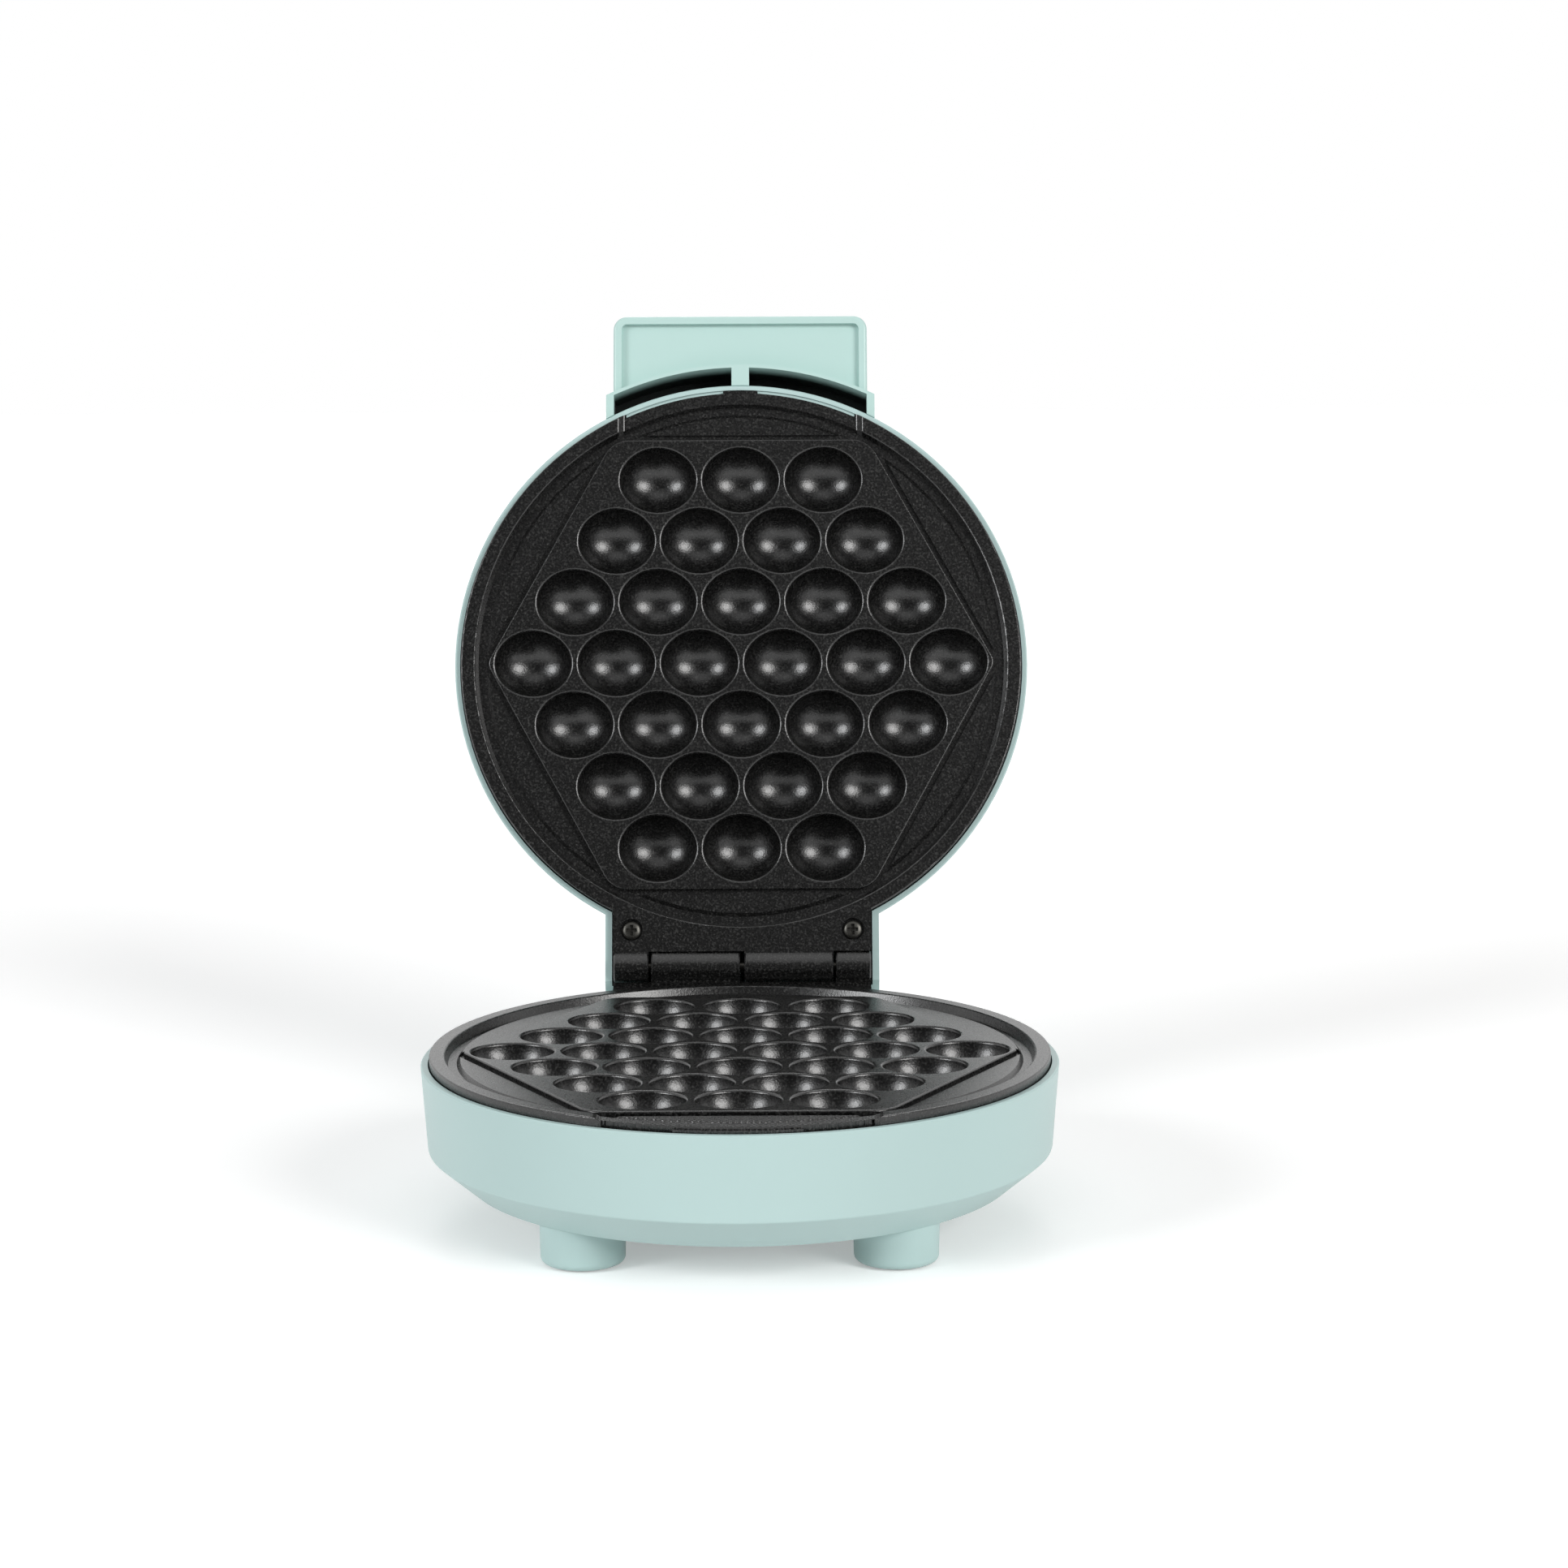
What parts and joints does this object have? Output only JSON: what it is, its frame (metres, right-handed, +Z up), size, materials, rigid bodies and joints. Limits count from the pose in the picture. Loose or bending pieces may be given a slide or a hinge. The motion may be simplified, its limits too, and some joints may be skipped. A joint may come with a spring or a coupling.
{
  "type": "bubble waffle maker",
  "caption": "Round bubble waffle maker with black cupped plates in pale mint housings, short round legs and a back-hinged lid with a wide flat handle.",
  "frame": {"origin": "on the floor, under the middle of the bounding box with the lid open", "axes": "+Z up, -Y towards the front where the spout of the plates is, +Y towards the hinge, stored with the lid standing open on its stop"},
  "size_m": [0.2098, 0.3049, 0.2881],
  "materials": {
    "mint_housing": "moulded polypropylene, satin",
    "mint_handle": "moulded phenolic, satin",
    "nonstick": "cast, black non-stick coating",
    "element_steel": "heat-tinted tube",
    "shield_sheet": "pressed sheet",
    "screw_steel": "zinc plated",
    "thermostat_body": "moulded phenolic",
    "fuse_case": "drawn case",
    "clip_steel": "spring sheet",
    "block_nylon": "moulded nylon",
    "lead_sleeve": "silicone insulation",
    "connector_nylon": "closed end connectors",
    "inlet_plastic": "moulded grommet",
    "pad_rubber": "moulded rubber"
  },
  "bodies": {
    "base": {"lower_housing": "mint_housing", "lower_plate": "nonstick", "lower_element": "element_steel", "lower_heat_shield": "shield_sheet", "lower_plate_screws": "screw_steel", "sensor_screws": "screw_steel", "terminal_screws": "screw_steel", "thermostat": "thermostat_body", "thermal_fuse": "fuse_case", "fuse_clip": "clip_steel", "terminal_block": "block_nylon", "base_leads": "lead_sleeve", "cord_inlet": "inlet_plastic", "foot_pads": "pad_rubber", "hinge_pin": "screw_steel"},
    "lid": {"upper_housing": "mint_housing", "handle": "mint_handle", "upper_plate": "nonstick", "upper_element": "element_steel", "upper_heat_shield": "shield_sheet", "shield_screws": "screw_steel", "neck_screws": "screw_steel", "handle_screws": "screw_steel", "upper_leads": "lead_sleeve", "wire_connectors": "connector_nylon"}
  },
  "joints": [
    {"name": "lid_hinge", "type": "hinge", "parent": "base", "child": "lid", "pos_m": [0, 0.0625, 0.0604], "axis": [1, 0, 0], "range_deg": [0, 108]}
  ]
}
